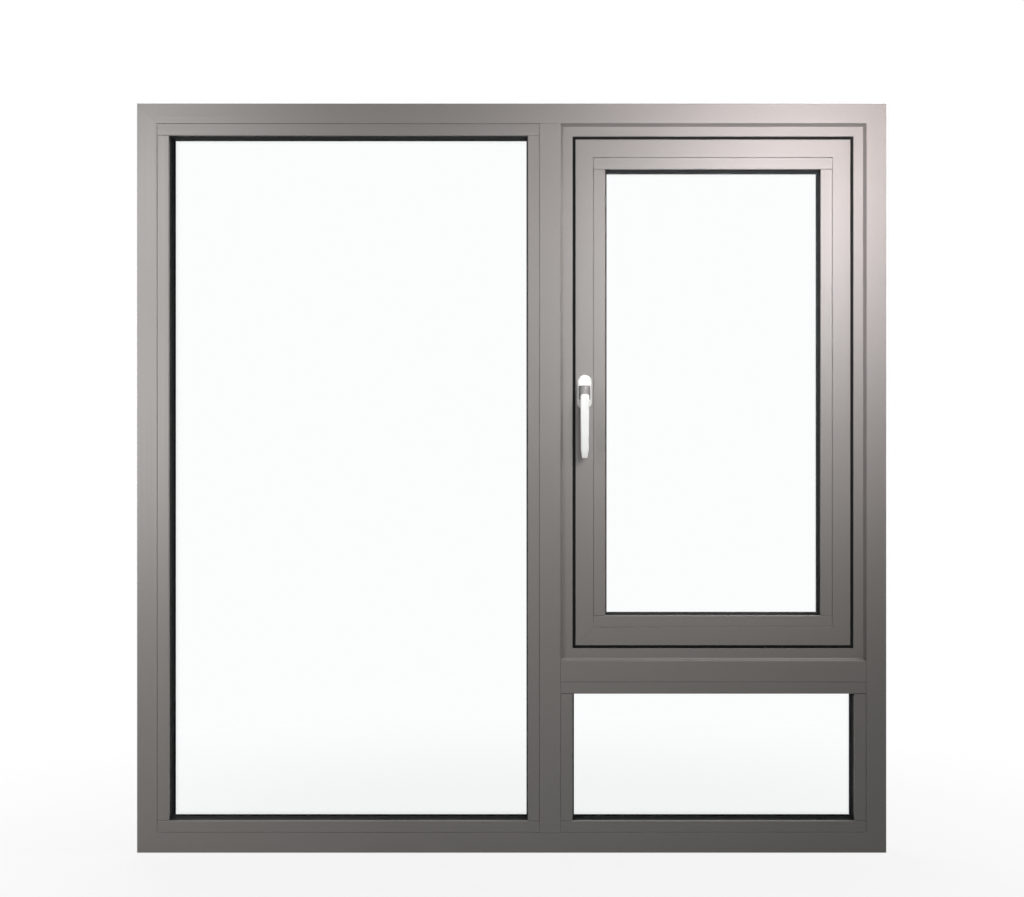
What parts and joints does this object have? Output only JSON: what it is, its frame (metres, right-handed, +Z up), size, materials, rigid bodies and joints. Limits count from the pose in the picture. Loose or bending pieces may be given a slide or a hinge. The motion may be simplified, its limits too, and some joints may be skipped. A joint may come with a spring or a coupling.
{
  "type": "aluminium window",
  "caption": "Square thermally broken aluminium window with a tall fixed light, an outward-opening sash with a lever handle, and a low fixed light below it.",
  "frame": {"origin": "middle of the sill's underside, under the room-side shell", "axes": "+Z up, +Y from the room to the outdoors, +X to the right seen from the room"},
  "size_m": [1.5, 0.103, 1.5],
  "materials": {
    "taupe_aluminium_coat": "satin taupe-grey powder coat on extruded aluminium",
    "black_polyamide": "matt black glass-filled polyamide",
    "black_spacer": "matt black warm-edge spacer",
    "black_rubber": "matt black gasket rubber",
    "clear_glass": "clear float glass",
    "white_handle_coat": "white powder coat on cast aluminium",
    "grey_handle_metal": "satin grey cast metal"
  },
  "bodies": {
    "window": {"divider_thermal_breaks": "black_polyamide", "frame_head": "taupe_aluminium_coat", "frame_inner_gaskets": "black_rubber", "frame_left_jamb": "taupe_aluminium_coat", "frame_outer_gaskets": "black_rubber", "frame_right_jamb": "taupe_aluminium_coat", "frame_sill": "taupe_aluminium_coat", "frame_thermal_break": "black_polyamide", "handle_rose": "white_handle_coat", "left_light_bottom_bead": "taupe_aluminium_coat", "left_light_glass": "clear_glass", "left_light_glass_spacer": "black_spacer", "left_light_left_bead": "taupe_aluminium_coat", "left_light_right_bead": "taupe_aluminium_coat", "left_light_top_bead": "taupe_aluminium_coat", "low_light_bottom_bead": "taupe_aluminium_coat", "low_light_glass": "clear_glass", "low_light_glass_spacer": "black_spacer", "low_light_left_bead": "taupe_aluminium_coat", "low_light_right_bead": "taupe_aluminium_coat", "low_light_top_bead": "taupe_aluminium_coat", "mullion": "taupe_aluminium_coat", "sash_bottom_bead": "taupe_aluminium_coat", "sash_bottom_rail": "taupe_aluminium_coat", "sash_flange_seal": "black_rubber", "sash_gap_seal": "black_rubber", "sash_glass": "clear_glass", "sash_glass_spacer": "black_spacer", "sash_hinge_stile": "taupe_aluminium_coat", "sash_inner_gaskets": "black_rubber", "sash_left_bead": "taupe_aluminium_coat", "sash_lock_stile": "taupe_aluminium_coat", "sash_outer_gaskets": "black_rubber", "sash_right_bead": "taupe_aluminium_coat", "sash_thermal_break": "black_polyamide", "sash_top_bead": "taupe_aluminium_coat", "sash_top_rail": "taupe_aluminium_coat", "transom": "taupe_aluminium_coat", "vent_frame_bottom": "taupe_aluminium_coat", "vent_frame_left": "taupe_aluminium_coat", "vent_frame_right": "taupe_aluminium_coat", "vent_frame_thermal_break": "black_polyamide", "vent_frame_top": "taupe_aluminium_coat"},
    "handle": {"handle_grip": "white_handle_coat", "handle_neck": "grey_handle_metal"}
  },
  "joints": [
    {"name": "handle_turn", "type": "hinge", "parent": "window", "child": "handle", "pos_m": [0.146, -0.005, 0.922], "axis": [0, -1, 0], "range_deg": [0, 90]}
  ]
}
